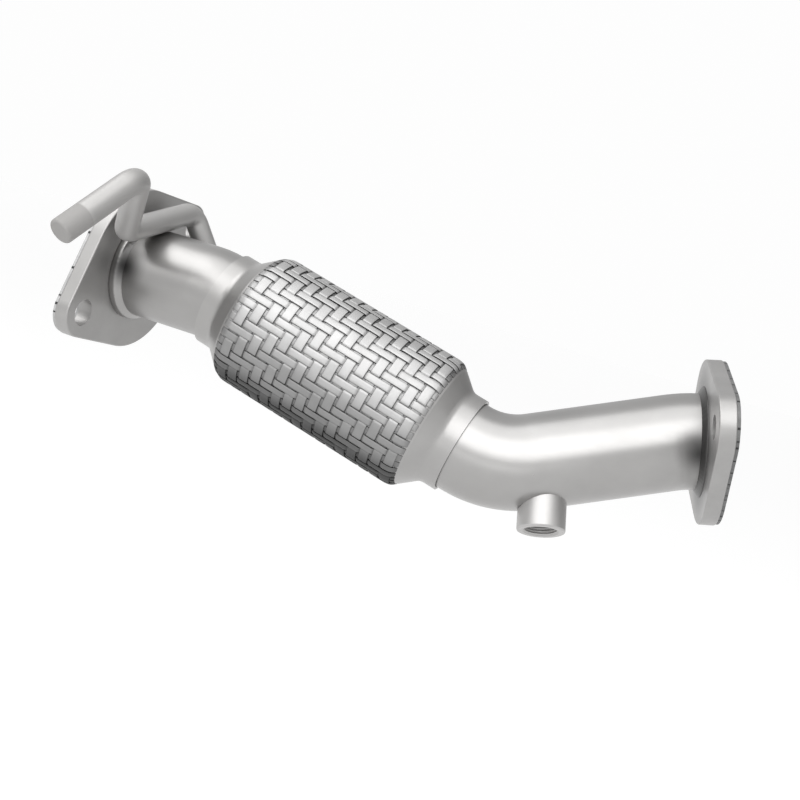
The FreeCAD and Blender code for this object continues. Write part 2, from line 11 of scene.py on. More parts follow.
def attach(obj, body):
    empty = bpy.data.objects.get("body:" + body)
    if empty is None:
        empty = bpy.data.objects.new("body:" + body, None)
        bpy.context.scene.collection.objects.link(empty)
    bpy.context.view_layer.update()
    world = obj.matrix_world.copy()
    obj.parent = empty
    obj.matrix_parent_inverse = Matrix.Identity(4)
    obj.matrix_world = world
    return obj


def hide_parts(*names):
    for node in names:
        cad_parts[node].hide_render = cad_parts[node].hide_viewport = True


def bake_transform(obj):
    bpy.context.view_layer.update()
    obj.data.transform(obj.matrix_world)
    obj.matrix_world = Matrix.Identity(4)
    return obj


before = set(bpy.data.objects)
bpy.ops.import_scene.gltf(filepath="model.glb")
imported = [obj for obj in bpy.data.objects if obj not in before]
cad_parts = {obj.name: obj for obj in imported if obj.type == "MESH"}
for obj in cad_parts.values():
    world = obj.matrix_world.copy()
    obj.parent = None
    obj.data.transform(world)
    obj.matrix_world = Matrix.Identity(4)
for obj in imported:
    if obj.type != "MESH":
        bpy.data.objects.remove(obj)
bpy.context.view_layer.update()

MM = 0.001
TURN = 2 * math.pi

# The flex coupling's own frame: s runs along it in mm from the inlet pipe's mouth.
FLEX_START = np.array([64.6705, 0.6808, -1.5855])
FLEX_DIR = np.array([0.96522, 0.10315, -0.24023])
FLEX_UP = np.array([0.23887, 0.02553, 0.97072])
FLEX_SIDE = np.cross(FLEX_DIR, FLEX_UP)
FLEX_LENGTH = 154.5
BEND_MARGIN = 25.0

# The camera, from a fit to points of the pipe: 36 mm sensor, square picture.
CAMERA_PLACE = (374.66, -589.43, 36.65)
CAMERA_LOOK = (-0.31333, 0.94463, -0.0975)
CAMERA_UP = (-0.29712, 0.0, 0.95484)
CAMERA_LENS = 53.68


def flex_point(s, radius, angle):
    """A point round the coupling's axis, in mm; s, radius and angle may be arrays."""
    s, radius, angle = np.broadcast_arrays(s, radius, angle)
    out = FLEX_START + s[..., None] * FLEX_DIR
    out = out + (radius * np.cos(angle))[..., None] * FLEX_UP
    return out + (radius * np.sin(angle))[..., None] * FLEX_SIDE


# Mesh helpers.
def add_mesh(name, points_mm, faces, material, uv=None):
    mesh = bpy.data.meshes.new(name)
    mesh.from_pydata((np.asarray(points_mm) * MM).tolist(), [], faces)
    mesh.update()
    if uv is not None:
        layer = mesh.uv_layers.new(name="strand")
        loops = np.empty(len(mesh.loops), dtype=np.int32)
        mesh.loops.foreach_get("vertex_index", loops)
        layer.data.foreach_set("uv", np.asarray(uv)[loops].astype(np.float32).ravel())
    mesh.polygons.foreach_set("use_smooth", [True] * len(mesh.polygons))
    piece = bpy.data.objects.new(name, mesh)
    bpy.context.scene.collection.objects.link(piece)
    mesh.materials.append(material)
    return piece


def grid_faces(rows, columns, first=0, close_rows=False, close_columns=False):
    """Quads over a grid of points, row by row."""
    faces = []
    for row in range(rows if close_rows else rows - 1):
        next_row = (row + 1) % rows
        for column in range(columns if close_columns else columns - 1):
            next_column = (column + 1) % columns
            faces.append((
                first + row * columns + column, first + row * columns + next_column,
                first + next_row * columns + next_column, first + next_row * columns + column))
    return faces


def revolved(name, origin, axis, profile, material, segments, ripple=None):
    """A closed profile of (radius, height) pairs in mm, turned round an axis."""
    axis = np.array(axis) / np.linalg.norm(axis)
    helper = np.array([0.0, 0.0, 1.0]) if abs(axis[2]) < 0.9 else np.array([1.0, 0.0, 0.0])
    side = np.cross(axis, helper)
    side /= np.linalg.norm(side)
    other = np.cross(axis, side)
    points = []
    for step in range(segments):
        angle = TURN * step / segments
        outward = math.cos(angle) * side + math.sin(angle) * other
        for index, (radius, height) in enumerate(profile):
            wave = ripple(angle, index) if ripple else 0.0
            points.append(np.array(origin) + outward * (radius + wave) + axis * height)
    faces = grid_faces(segments, len(profile), close_rows=True, close_columns=True)
    return add_mesh(name, points, faces, material)


def face_outward(piece):
    """Turn the faces of a closed mesh so that they all look out."""
    work = bmesh.new()
    work.from_mesh(piece.data)
    bmesh.ops.recalc_face_normals(work, faces=work.faces)
    work.to_mesh(piece.data)
    work.free()


# Material helpers.
class Nodes:
    """Short names for adding and joining the nodes of a material or the world."""

    def __init__(self, owner):
        owner.use_nodes = True
        self.tree = owner.node_tree

    def add(self, kind, **settings):
        node = self.tree.nodes.new(kind)
        for key, value in settings.items():
            setattr(node, key, value)
        return node

    def join(self, source, target):
        self.tree.links.new(source, target)

    def math(self, operation, first, second=None):
        node = self.add("ShaderNodeMath", operation=operation)
        for socket, value in zip(node.inputs, (first, second)):
            if value is None:
                continue
            if isinstance(value, (int, float)):
                socket.default_value = value
            else:
                self.join(value, socket)
        return node.outputs[0]

    def remap(self, value, low, high, to_low, to_high, smooth=False):
        node = self.add("ShaderNodeMapRange")
        node.interpolation_type = "SMOOTHSTEP" if smooth else "LINEAR"
        node.inputs["From Min"].default_value = low
        node.inputs["From Max"].default_value = high
        node.inputs["To Min"].default_value = to_low
        node.inputs["To Max"].default_value = to_high
        self.join(value, node.inputs["Value"])
        return node.outputs["Result"]

    def blend(self, factor, first, second):
        node = self.add("ShaderNodeMix", data_type="RGBA")
        self.join(factor, node.inputs["Factor"])
        for socket, value in ((node.inputs["A"], first), (node.inputs["B"], second)):
            if isinstance(value, tuple):
                socket.default_value = value + (1.0,)
            else:
                self.join(value, socket)
        return node.outputs["Result"]

    def along(self, vector, direction):
        """How far a vector reaches along a direction."""
        node = self.add("ShaderNodeVectorMath", operation="DOT_PRODUCT")
        self.join(vector, node.inputs[0])
        node.inputs[1].default_value = tuple(direction)
        return node.outputs["Value"]


class MaterialNodes(Nodes):
    """The nodes of a new material."""

    def __init__(self, name):
        self.material = bpy.data.materials.new(name)
        super().__init__(self.material)
        self.shader = self.tree.nodes["Principled BSDF"]

    def place(self, scale):
        """Position in the object's own frame, in metres times scale."""
        coordinates = self.add("ShaderNodeTexCoord")
        mapping = self.add("ShaderNodeMapping")
        mapping.inputs["Scale"].default_value = scale
        self.join(coordinates.outputs["Object"], mapping.inputs["Vector"])
        return mapping.outputs["Vector"]

    def noise(self, scale, detail, stretch=(1, 1, 1)):
        texture = self.add("ShaderNodeTexNoise")
        texture.inputs["Scale"].default_value = scale
        texture.inputs["Detail"].default_value = detail
        texture.inputs["Roughness"].default_value = 0.55
        self.join(self.place(stretch), texture.inputs["Vector"])
        return texture.outputs["Fac"]

    def bump(self, height, strength, distance):
        """Give the material a fine relief from a height."""
        node = self.add("ShaderNodeBump")
        node.inputs["Strength"].default_value = strength
        node.inputs["Distance"].default_value = distance
        self.join(height, node.inputs["Height"])
        self.join(node.outputs["Normal"], self.shader.inputs["Normal"])


def tint(level, warmth):
    """A grey of the given level, a little warm."""
    return (level * (1 + warmth), level, level * (1 - warmth))


STEEL_WARMTH = 0.012


def steel(name, level, roughness, stretch, grain=0.05, bump=0.12, metallic=1.0):
    """Plain steel: faint mottling, fine drawn lines along one direction, slight bump."""
    nodes = MaterialNodes(name)
    mottle = nodes.noise(45.0, 4.0)
    lines = nodes.noise(1.0, 3.0, stretch)
    patch = nodes.noise(9.0, 2.0)
    dark = tint(level * (1 - grain), STEEL_WARMTH)
    light = tint(level * (1 + grain), STEEL_WARMTH)
    colour = nodes.blend(nodes.remap(mottle, 0.3, 0.7, 0.0, 1.0), dark, light)
    tarnish = tint(level * 0.92, STEEL_WARMTH * 2)
    worn = nodes.blend(nodes.remap(patch, 0.35, 0.7, 0.0, 0.45), colour, tarnish)
    nodes.join(worn, nodes.shader.inputs["Base Color"])
    nodes.shader.inputs["Metallic"].default_value = metallic
    spread = nodes.math("ADD", nodes.math("MULTIPLY", lines, 0.10), roughness - 0.05)
    nodes.join(spread, nodes.shader.inputs["Roughness"])
    nodes.bump(lines, bump, 0.00006)
    return nodes


def dress(node_name, material):
    """Give one of the frame's solids its material."""
    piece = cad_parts[node_name]
    piece.data.materials.clear()
    piece.data.materials.append(material)
    for slot in piece.material_slots:
        slot.link = "DATA"


# Painted dark patches beside the flanges' welds: the weld marks are painted reflections, the flange
# mark is painted shade. Each mark: its place in mm, the distances between which it fades, and its
# depth.
WELD_PAINTED_REFLECTIONS = (((330.5, 28.6, -5.0), 0.0, 15.0, 0.85), ((14.5, -25.4, 1.0), 0.0, 15.0, 0.95))
FLANGE_PAINTED_SHADE = (((327.4, 53.8, -1.05), 27.0, 43.0, 0.55),)


def paint_dark_reflections_and_shade(nodes, painted_marks):
    """Paint dark patches of reflection and shade into a steel beside the flanges' welds."""
    socket = nodes.shader.inputs["Base Color"]
    for place, core, reach, depth in painted_marks:
        away = nodes.add("ShaderNodeVectorMath", operation="DISTANCE")
        nodes.join(nodes.place((1, 1, 1)), away.inputs[0])
        away.inputs[1].default_value = tuple(np.array(place) * MM)
        painted_dark = nodes.remap(away.outputs["Value"], core * MM, reach * MM, depth, 0.0, smooth=True)
        nodes.join(nodes.blend(painted_dark, socket.links[0].from_socket, tint(0.02, 0.0)), socket)


PIPE = steel("pipe_steel", 0.365, 0.30, (50, 400, 400), bump=0.04)
# A darker copy of the pipe steel: painted shade for the inlet pipe, which is also rougher.
SHADED_INLET_PIPE = steel("inlet_pipe_steel_painted_shade", 0.34, 0.36, (50, 400, 400), bump=0.04)
NECK = steel("neck_steel", 0.36, 0.34, (900, 90, 900), metallic=0.85)
FLANGE = steel("flange_steel", 0.35, 0.38, (500, 500, 500), grain=0.09, bump=0.15, metallic=0.75)
# A copy of the flange steel that carries painted shade near its pipe.
OUTLET_FLANGE = steel(
    "outlet_flange_steel", 0.35, 0.38, (500, 500, 500), grain=0.09, bump=0.15, metallic=0.75)
WELD = steel("weld_metal", 0.34, 0.33, (600, 600, 600), grain=0.08)
# A near-black copy of the weld metal: painted shade in the corner between the outlet pipe and its
# flange.
SHADED_WELD = steel("outlet_weld_painted_shade", 0.11, 0.38, (600, 600, 600), grain=0.15)
BELLOWS = steel("bellows_steel", 0.46, 0.30, (300, 900, 900))
BOSS = steel("boss_steel", 0.44, 0.40, (900, 900, 60), bump=0.05, metallic=0.75)
# Painted dark reflections beside the welds, and painted shade on the outlet flange's face near its
# pipe.
paint_dark_reflections_and_shade(PIPE, WELD_PAINTED_REFLECTIONS)
paint_dark_reflections_and_shade(SHADED_INLET_PIPE, WELD_PAINTED_REFLECTIONS)
paint_dark_reflections_and_shade(WELD, WELD_PAINTED_REFLECTIONS)
paint_dark_reflections_and_shade(OUTLET_FLANGE, FLANGE_PAINTED_SHADE)

# The hanger rod's free leg, in mm: its end, its bend's corner and its dull stretch.
ROD_TIP = Vector((44.0, -130.2, 13.15))
ROD_TOP = Vector((52.4, -92.5, 48.3))
DULL_LENGTH = 15.2
DULL_FADE = 0.4


def rod_material():
    """Steel bar whose last stretch is dull grey."""
    nodes = steel("rod_steel", 0.38, 0.48, (400, 60, 60), bump=0.06)
    shifted = nodes.add("ShaderNodeVectorMath", operation="SUBTRACT")
    nodes.join(nodes.place((1, 1, 1)), shifted.inputs[0])
    shifted.inputs[1].default_value = ROD_TIP * MM
    reach = nodes.along(shifted.outputs[0], (ROD_TOP - ROD_TIP).normalized())
    fade_start = (DULL_LENGTH - DULL_FADE) * MM
    fade_end = (DULL_LENGTH + DULL_FADE) * MM
    dull = nodes.remap(reach, fade_start, fade_end, 1.0, 0.0)
    colour = nodes.shader.inputs["Base Color"]
    roughness = nodes.shader.inputs["Roughness"]
    plain_roughness = roughness.links[0].from_socket
    nodes.join(nodes.blend(dull, colour.links[0].from_socket, tint(0.31, 0.02)), colour)
    nodes.join(nodes.math("ADD", plain_roughness, nodes.math("MULTIPLY", dull, 0.28)), roughness)
    nodes.join(nodes.remap(dull, 0.0, 1.0, 0.65, 0.35), nodes.shader.inputs["Metallic"])
    return nodes.material


def braid_material():
    """Flat strands of fine parallel wires. The strand map holds a painted shade and a count of wires.
    """
    nodes = MaterialNodes("braid_steel")
    strand = nodes.add("ShaderNodeUVMap", uv_map="strand")
    parts = nodes.add("ShaderNodeSeparateXYZ")
    nodes.join(strand.outputs["UV"], parts.inputs["Vector"])
    wave = nodes.math("SINE", nodes.math("MULTIPLY", parts.outputs["Y"], TURN))
    wires = nodes.math("ABSOLUTE", wave)
    mottle = nodes.noise(60.0, 3.0)
    level = nodes.remap(mottle, 0.3, 0.7, 0.0, 1.0)
    colour = nodes.blend(level, tint(0.40, 0.004), tint(0.47, 0.004))
    lined = nodes.blend(nodes.remap(wires, 0.0, 0.35, 0.35, 0.0), colour, tint(0.20, 0.0))
    # Painted shade from the strand map darkens the strands towards black.
    shaded = nodes.blend(parts.outputs["X"], tint(0.02, 0.0), lined)
    nodes.join(shaded, nodes.shader.inputs["Base Color"])
    nodes.shader.inputs["Metallic"].default_value = 1.0
    nodes.shader.inputs["Roughness"].default_value = 0.54
    nodes.bump(wires, 0.2, 0.00008)
    return nodes.material


def braid_wall_material():
    """The grey that shows between the strands."""
    nodes = MaterialNodes("braid_shadow")
    mottle = nodes.noise(80.0, 3.0)
    colour = nodes.blend(mottle, tint(0.34, 0.0), tint(0.46, 0.0))
    nodes.join(colour, nodes.shader.inputs["Base Color"])
    nodes.shader.inputs["Metallic"].default_value = 0.6
    nodes.shader.inputs["Roughness"].default_value = 0.6
    return nodes.material


def gasket_material(name, level, across, along, pitch, dot_level, size):
    """Gasket facing: a staggered grid of small dark dents in a mottled grey sheet.

    The pitch is in mm, and a dent's size is a share of it.
    """
    nodes = MaterialNodes(name)
    spot = nodes.place((1, 1, 1))
    column = nodes.along(spot, np.array(across) / (pitch * MM))
    row = nodes.along(spot, np.array(along) / (pitch * MM))
    stagger = nodes.math("MULTIPLY", nodes.math("MODULO", nodes.math("FLOOR", row), 2.0), 0.5)
    shifted = nodes.math("ADD", column, stagger)
    over = nodes.math("SUBTRACT", nodes.math("FRACT", shifted), 0.5)
    up = nodes.math("SUBTRACT", nodes.math("FRACT", row), 0.5)
    square = nodes.math("ADD", nodes.math("MULTIPLY", over, over), nodes.math("MULTIPLY", up, up))
    away = nodes.math("SQRT", square)
    dot = nodes.remap(away, size, size * 1.35, 1.0, 0.0, smooth=True)
    mottle = nodes.noise(220.0, 4.0)
    share = nodes.remap(mottle, 0.3, 0.7, 0.0, 1.0)
    sheet = nodes.blend(share, tint(level * 0.82, 0.0), tint(level * 1.15, 0.0))
    nodes.join(nodes.blend(dot, sheet, tint(dot_level, 0.0)), nodes.shader.inputs["Base Color"])
    nodes.shader.inputs["Metallic"].default_value = 0.35
    nodes.shader.inputs["Roughness"].default_value = 0.62
    height = nodes.math("ADD", nodes.math("MULTIPLY", dot, -1.0), nodes.math("MULTIPLY", mottle, 0.25))
    nodes.bump(height, 0.5, 0.0003)
    return nodes.material


# The outlet flange's back, in mm, and its own directions.
OUTLET_BACK = (327.4252, 53.8387, -1.0503)
END_DIR = np.array([0.94761, 0.20661, 0.24362])
END_SIDE = np.cross(END_DIR, [0.0, 0.0, 1.0])
END_SIDE /= np.linalg.norm(END_SIDE)
END_UP = np.cross(END_SIDE, END_DIR)

dress("inlet_pipe", SHADED_INLET_PIPE.material)
dress("outlet_pipe", PIPE.material)
dress("inlet_neck", NECK.material)
dress("outlet_neck", NECK.material)
dress("inlet_flange", FLANGE.material)
dress("outlet_flange", OUTLET_FLANGE.material)
dress("inlet_cuff_ring", BELLOWS.material)
dress("outlet_cuff_ring", BELLOWS.material)
dress("hanger_rod", rod_material())
dress("inlet_gasket", gasket_material(
    "inlet_gasket_facing", 0.42, (0, 0.94, 0.34), (0, -0.34, 0.94), 4.2, 0.03, 0.14))
dress("outlet_gasket", gasket_material(
    "outlet_gasket_facing", 0.15, tuple(END_SIDE), tuple(END_UP), 3.2, 0.02, 0.17))

# The braid, in mm: 48 strands along and 16 round the coupling, two over two, on a grey wall.
ROWS = 48
ROW_STEP = math.radians(7.5)
ROW_TURN = math.radians(-1.3)
COLUMNS = 16
COLUMN_PITCH = 6.94
COLUMN_START = 22.6
AXIAL_WIDTH = 3.9
HOOP_WIDTH = 5.4
STRAND_THICKNESS = 0.36
OVER_RADIUS = 38.16
UNDER_RADIUS = 37.5
BRAID_END = 19.25
CURL_LENGTH = 7.0
CURL_DROP = 2.9
CURL_SLACK = 0.15
CROSSING = 2.2
CROSSING_TURN = 0.14
BRAID_RADIUS = 38.0
WIRES = 4.0

# Painted shade of a strand, from 0 for black to 1 for its own colour: dark sides and dips stand in for
# shade between strands, and a darker lower half for shade below the coupling.
SIDE_SHADE = 0.62
DIP_SHADE = 0.74
TOP_DIP_SHADE = 0.24
LOWER_SIDE_PAINTED_SHADE = 0.32
UNDERSIDE_PAINTED_SHADE = 0.62
STATION_GAP = 0.12


def smooth(value):
    """From 0 to 1 with a soft start and end."""
    value = np.clip(value, 0.0, 1.0)
    return value * value * (3 - 2 * value)


def fade(value, low, high):
    """From 0 at low to 1 at high."""
    return smooth((value - low) / (high - low))


def curl(s):
    """How far the braid's surface has dropped towards the neck near its two ends."""
    inside = np.minimum(s, FLEX_LENGTH - s)
    lack = np.clip((BRAID_END + CURL_LENGTH - inside) / (CURL_LENGTH + CURL_SLACK), 0.0, 1.0)
    return CURL_DROP * (1 - np.sqrt(1 - lack * lack))


def axial_on_top(row, column):
    return (row + column) % 4 in (1, 2)


def axial_level(row, s):
    """1 where the axial strand lies on top, 0 where it dips under, 0.5 past the weave."""
    level = np.full_like(s, 0.5)
    before = 0.5
    for column in range(COLUMNS + 1):
        after = 0.5
        if column < COLUMNS:
            after = 1.0 if axial_on_top(row, column) else 0.0
        edge = COLUMN_START + column * COLUMN_PITCH
        level += (after - before) * smooth((s - edge) / CROSSING + 0.5)
        before = after
    return level


def hoop_level(column, angle):
    """1 where the hoop strand lies on top, 0 where it dips under."""
    turns = (angle - ROW_TURN) / ROW_STEP
    row = np.floor(turns + 0.5).astype(int)
    part = turns + 0.5 - row
    states = np.array([0.0 if axial_on_top(index % ROWS, column) else 1.0 for index in range(ROWS)])
    here = states[row % ROWS]
    last = states[(row - 1) % ROWS]
    following = states[(row + 1) % ROWS]
    enter = fade(part, -CROSSING_TURN, CROSSING_TURN)
    leave = fade(part - 1, -CROSSING_TURN, CROSSING_TURN)
    return last + (here - last) * enter + (following - here) * leave


def strand_section(width):
    """Offsets across and out for one closed section: a crowned top and a flat underside."""
    half = width / 2
    lift = STRAND_THICKNESS / 2
    return [
        (-half, -lift * 1.9), (-half, lift * 0.1), (-half * 0.88, lift * 0.8), (-half * 0.4, lift),
        (half * 0.4, lift), (half * 0.88, lift * 0.8), (half, lift * 0.1), (half, -lift * 1.9)]


# How far each of the section's points is from the strand's dark sides, where shade is painted.
EDGE_SHADE = np.array([0.0, 0.2, 1.0, 1.0, 1.0, 1.0, 0.2, 0.0])


def strand_shade(level, angle):
    """Painted shade over the section: dark sides and dips where shade falls between strands, and
    painted shade darkening the coupling's underside.
    """
    level, angle = np.broadcast_arrays(level, angle)
    height = np.cos(angle)
    top = fade(height, 0.62, 0.92)
    dip = DIP_SHADE + (TOP_DIP_SHADE - DIP_SHADE) * top
    dip = dip + (1 - dip) * fade(level, 0.25, 0.875)
    side = SIDE_SHADE * (1 - top)
    # Painted shade: darker towards the coupling's underside.
    underside_shade = 1 - LOWER_SIDE_PAINTED_SHADE * fade(-height, 0.0, 0.3) - UNDERSIDE_PAINTED_SHADE * fade(-height, 0.45, 0.9)
    section = side[:, None] + (1 - side)[:, None] * EDGE_SHADE[None, :]
    return (dip * underside_shade)[:, None] * section


def axial_stations():
    """Places along the coupling, closer where the braid curls in and where strands cross."""
    steepest = math.asin(CURL_LENGTH / (CURL_LENGTH + CURL_SLACK))
    turn = np.linspace(0.0, steepest, 10)
    end = BRAID_END + CURL_LENGTH - (CURL_LENGTH + CURL_SLACK) * np.sin(turn)
    edges = COLUMN_START + COLUMN_PITCH * np.arange(COLUMNS + 1)
    crossing = (edges[:, None] + CROSSING * np.linspace(-0.5, 0.5, 5)).ravel()
    middle = edges[:-1] + COLUMN_PITCH / 2
    stations = np.sort(np.concatenate([end, FLEX_LENGTH - end, crossing, middle]))
    return stations[np.append(np.diff(stations) > STATION_GAP, True)]


def hoop_angles():
    """Places round the coupling, closer where strands cross."""
    parts = np.append(CROSSING_TURN * np.linspace(-1.0, 1.0, 5), [0.32, 0.5, 0.68])
    turns = np.arange(ROWS)[:, None] - 0.5 + parts
    return ROW_TURN + ROW_STEP * turns.ravel()


def braid_piece(name, material):
    """All strands in one mesh, with the strand map as its UV."""
    points, faces, uv = [], [], []

    def add_strand(width, wires, section, ring, level, angle, closed):
        first = sum(len(block) for block in points)
        rows, count = len(ring[0]), len(section)
        points.append(np.stack(ring, axis=1).reshape(-1, 3))
        faces.extend(grid_faces(rows, count, first, close_rows=closed, close_columns=True))
        if not closed:
            last = first + (rows - 1) * count
            faces.append(tuple(range(first + count - 1, first - 1, -1)))
            faces.append(tuple(range(last, last + count)))
        wire = np.array([(across / width + 0.5) * wires for across, _ in section])
        uv.append(np.column_stack([strand_shade(level, angle).ravel(), np.tile(wire, rows)]))

    rise = OVER_RADIUS - UNDER_RADIUS
    section = strand_section(AXIAL_WIDTH)
    stations = axial_stations()
    for row in range(ROWS):
        centre = ROW_TURN + row * ROW_STEP
        level = axial_level(row, stations)
        middle = UNDER_RADIUS + rise * level - curl(stations)
        ring = [
            flex_point(stations, middle + lift, centre + across / BRAID_RADIUS)
            for across, lift in section]
        add_strand(AXIAL_WIDTH, WIRES, section, ring, level, centre, False)
    section = strand_section(HOOP_WIDTH)
    angles = hoop_angles()
    for column in range(COLUMNS):
        centre = COLUMN_START + (column + 0.5) * COLUMN_PITCH
        level = hoop_level(column, angles)
        middle = UNDER_RADIUS + rise * level
        ring = [
            flex_point(centre + across, middle + lift - curl(np.array(centre + across)), angles)
            for across, lift in section]
        add_strand(HOOP_WIDTH, WIRES + 1, section, ring, level, angles, True)
    piece = add_mesh(name, np.vstack(points), faces, material, uv=np.vstack(uv))
    face_outward(piece)
    return piece


def flex_tube(name, profile, material, segments):
    """A closed (radius, s) profile turned round the coupling's axis."""
    piece = revolved(name, FLEX_START, FLEX_DIR, profile, material, segments)
    face_outward(piece)
    return piece


def across_flex(piece, *replaced):
    """Let a piece stand for a solid of the coupling."""
    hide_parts(*replaced)
    start = flex_point(BEND_MARGIN, 0.0, 0.0) * MM
    end = flex_point(FLEX_LENGTH - BEND_MARGIN, 0.0, 0.0) * MM
    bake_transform(piece)


braid = braid_piece("braid_weave", braid_material())
across_flex(braid, "flex_braid")

# The wall under the braid, in mm.
WALL_START = 21.0
WALL_RADIUS = 37.0
WALL_LEAST = 36.5
WALL_THICKNESS = 0.15
WALL_STEPS = 140
WALL_SEGMENTS = 160
wall_stations = np.linspace(WALL_START, FLEX_LENGTH - WALL_START, WALL_STEPS)
wall_profile = [(max(WALL_RADIUS - float(curl(np.array(s))), WALL_LEAST), s) for s in wall_stations]
wall_profile += [(WALL_LEAST - WALL_THICKNESS, s) for s in wall_stations[::-1]]
braid_wall = flex_tube("braid_wall", wall_profile, braid_wall_material(), WALL_SEGMENTS)
across_flex(braid_wall, "flex_braid")

# The bellows, in mm: thin wall, round crests and roots, flat cuffs inside the necks' skirts.
BELLOWS_CREST = 35.2
BELLOWS_ROOT = 27.7
BELLOWS_COUNT = 12
BELLOWS_WALL = 0.4
FOLD_START = 36.0
FOLD_STEPS = 16
FOLD_ROUNDNESS = 0.6
CUFF_RADIUS = 34.55
CUFF_START = 25.3
CUFF_SLOPE = 2.2
INNER_SEGMENTS = 120


def bellows_line(inset):
    cuff = CUFF_RADIUS - inset
    line = [(cuff, CUFF_START), (cuff, FOLD_START - CUFF_SLOPE)]
    span = FLEX_LENGTH - 2 * FOLD_START
    middle = (BELLOWS_CREST + BELLOWS_ROOT) / 2
    swing = (BELLOWS_CREST - BELLOWS_ROOT) / 2
    steps = BELLOWS_COUNT * FOLD_STEPS
    for step in range(steps + 1):
        wave = math.cos(TURN * step / FOLD_STEPS)
        flat = math.copysign(abs(wave) ** FOLD_ROUNDNESS, wave)
        line.append((middle - swing * flat - inset, FOLD_START + span * step / steps))
    line.append((cuff, FLEX_LENGTH - FOLD_START + CUFF_SLOPE))
    line.append((cuff, FLEX_LENGTH - CUFF_START))
    return line


bellows_profile = bellows_line(0.0) + bellows_line(BELLOWS_WALL)[::-1]
bellows = flex_tube("bellows_folds", bellows_profile, BELLOWS.material, INNER_SEGMENTS)
across_flex(bellows, "flex_bellows")

# The liner, in mm: an interlocked strip, with a small step every few millimetres.
LINER_START = 6.9
LINER_OUTSIDE = 25.35
LINER_INSIDE = 24.5
LINER_STEP = 0.35
LINER_PITCH = 5.2
LINER_FLAT_SHARE = 0.72


def liner_line(radius, depth):
    line = []
    s = LINER_START
    while s < FLEX_LENGTH - LINER_START:
        phase = (s - LINER_START) % LINER_PITCH
        dip = depth if phase > LINER_PITCH * LINER_FLAT_SHARE else 0.0
        line.append((radius - dip, s))
        s += LINER_PITCH / 8
    return line


liner_profile = liner_line(LINER_OUTSIDE, LINER_STEP) + liner_line(LINER_INSIDE, -LINER_STEP)[::-1]
liner = flex_tube("liner_strip", liner_profile, BELLOWS.material, INNER_SEGMENTS)
across_flex(liner, "flex_liner")

# The sensor boss, in mm: its M18 thread is real, and its foot follows the pipe.
BOSS_FOOT = np.array([256.1812, 27.4507, -33.1704])
BOSS_AXIS = np.array([0.30177, -0.36516, -0.88068])
RUN_DIR = np.array([0.85056, 0.33333, 0.40674])
BOSS_RADIUS = 12.6
BOSS_REACH = 38.9
BOSS_EDGE = 0.8
BOSS_SEGMENTS = 144
THREAD_PITCH = 1.5
THREAD_CREST = 8.22
THREAD_ROOT = 8.98
THREAD_ROWS = 72
SEAT_RADIUS = 24.9


def seat_height(outward, radius):
    """Where a line beside the boss's axis meets the pipe's surface."""
    start = outward * radius
    flat_start = start - RUN_DIR * np.dot(start, RUN_DIR)
    flat_axis = BOSS_AXIS - RUN_DIR * np.dot(BOSS_AXIS, RUN_DIR)
    a = flat_axis @ flat_axis
    b = 2 * flat_start @ flat_axis
    c = flat_start @ flat_start - SEAT_RADIUS ** 2
    return (-b + math.sqrt(b * b - 4 * a * c)) / (2 * a)


def boss_line(angle, outward):
    """The boss's outline at one angle; pairs of close points keep its edges crisp."""
    low = seat_height(outward, BOSS_RADIUS)
    bore_low = seat_height(outward, THREAD_ROOT)
    shoulder = BOSS_REACH - BOSS_EDGE
    rim = BOSS_RADIUS - BOSS_EDGE
    mouth = BOSS_REACH - BOSS_EDGE * 1.2
    line = [
        (BOSS_RADIUS, low), (BOSS_RADIUS, low + 0.2),
        (BOSS_RADIUS, shoulder - 0.1), (BOSS_RADIUS, shoulder),
        (BOSS_RADIUS - BOSS_EDGE * 0.3, BOSS_REACH - BOSS_EDGE * 0.3),
        (rim, BOSS_REACH), (rim - 0.1, BOSS_REACH),
        (THREAD_ROOT + 0.6, BOSS_REACH), (THREAD_ROOT + 0.5, BOSS_REACH),
        (THREAD_ROOT + 0.1, mouth)]
    for index in range(THREAD_ROWS + 1):
        height = mouth - (mouth - bore_low - 0.3) * index / THREAD_ROWS
        phase = (height / THREAD_PITCH + angle / TURN) % 1.0
        tooth = (1 - abs(2 * phase - 1)) * 1.3 - 0.15
        depth = min(max(tooth, 0.0), 1.0)
        line.append((THREAD_CREST + (THREAD_ROOT - THREAD_CREST) * depth, height))
    line.append((THREAD_ROOT - 0.3, bore_low))
    return line


def boss_piece():
    side = RUN_DIR - BOSS_AXIS * np.dot(RUN_DIR, BOSS_AXIS)
    side /= np.linalg.norm(side)
    other = np.cross(BOSS_AXIS, side)
    points = []
    for step in range(BOSS_SEGMENTS):
        angle = TURN * step / BOSS_SEGMENTS
        outward = math.cos(angle) * side + math.sin(angle) * other
        for radius, height in boss_line(angle, outward):
            points.append(BOSS_FOOT + outward * radius + BOSS_AXIS * height)
    rows = len(points) // BOSS_SEGMENTS
    faces = grid_faces(BOSS_SEGMENTS, rows, close_rows=True, close_columns=True)
    piece = add_mesh("sensor_boss_threaded", points, faces, BOSS.material)
    face_outward(piece)
    return piece


boss = boss_piece()
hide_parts("sensor_boss")
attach(boss, "outlet_end")

# Weld beads, in mm: round shoulders with faint ripples.
PIPE_RADIUS = 25.4
INLET_BACK = (8.0, 0.0, 0.0)
RIPPLES = 64
RIPPLE_HEIGHT = 0.06
BEAD_SEGMENTS = 384


def bead(name, place, axis, profile, body, replaced, metal):
    def ripple(angle, index):
        lifted = 0 < index < len(profile) - 1
        return RIPPLE_HEIGHT * math.sin(angle * RIPPLES) * math.cos(angle * 5) if lifted else 0.0

    piece = revolved(name, place, axis, profile, metal.material, BEAD_SEGMENTS, ripple)
    face_outward(piece)
    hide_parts(replaced)
    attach(piece, body)


